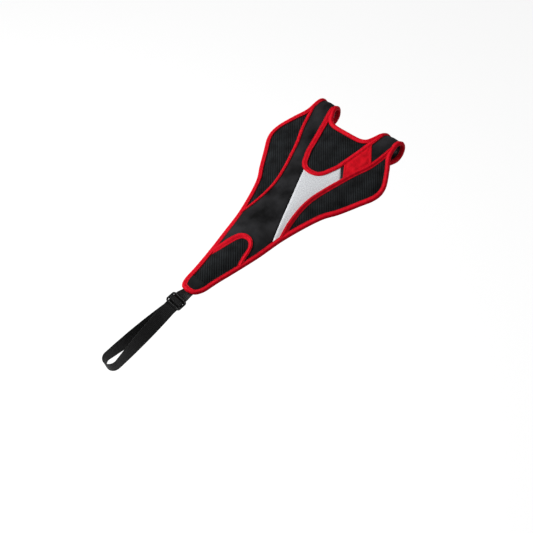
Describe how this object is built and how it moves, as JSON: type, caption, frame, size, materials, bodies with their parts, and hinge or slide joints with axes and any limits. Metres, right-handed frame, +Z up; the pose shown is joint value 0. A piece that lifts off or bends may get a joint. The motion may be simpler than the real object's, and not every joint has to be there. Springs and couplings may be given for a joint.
{
  "type": "bicycle sweat guard",
  "caption": "Kite-shaped cloth guard with bound edges, arms that wrap a handlebar and a webbing loop with a slider for a seatpost.",
  "frame": {"origin": "on the handlebar's axis, midway between the guard's two arms", "axes": "+X to the rider's right along the handlebar, +Y in the riding direction, +Z up; the guard hangs back and down to the seatpost"},
  "size_m": [0.2824, 0.6951, 0.1568],
  "materials": {
    "black_mesh": "black warp-knit mesh with fine ribs, matt",
    "smooth_black": "black smooth-knit jersey on thin foam, matt with a soft sheen",
    "silver_cloth": "silver grey coated cloth, satin",
    "lining": "dark waterproof taffeta, low sheen",
    "red_tape": "red woven polyester binding tape, slight sheen",
    "red_label": "red woven damask tab, bare",
    "fastener": "black hook and loop tape, rough",
    "webbing": "black ribbed polypropylene webbing, soft sheen",
    "slider_plastic": "black moulded acetal, satin"
  },
  "bodies": {
    "root": {"right_wing_mesh": "black_mesh", "left_wing_mesh": "black_mesh", "neck_mesh": "black_mesh", "tail_mesh": "black_mesh", "silver_inset": "silver_cloth", "centre_panel": "smooth_black", "right_arm_panel": "smooth_black", "backing_lining": "lining", "edge_binding": "red_tape", "right_seam_tape": "red_tape", "left_seam_tape": "red_tape", "neck_seam_tape": "red_tape", "tail_seam_tape": "red_tape", "label_tab": "red_label", "tail_reinforcement": "smooth_black", "right_loop_patch": "fastener", "right_hook_patch": "fastener", "left_loop_patch": "fastener", "left_hook_patch": "fastener", "strap_webbing": "webbing", "strap_slider": "slider_plastic"}
  },
  "joints": []
}
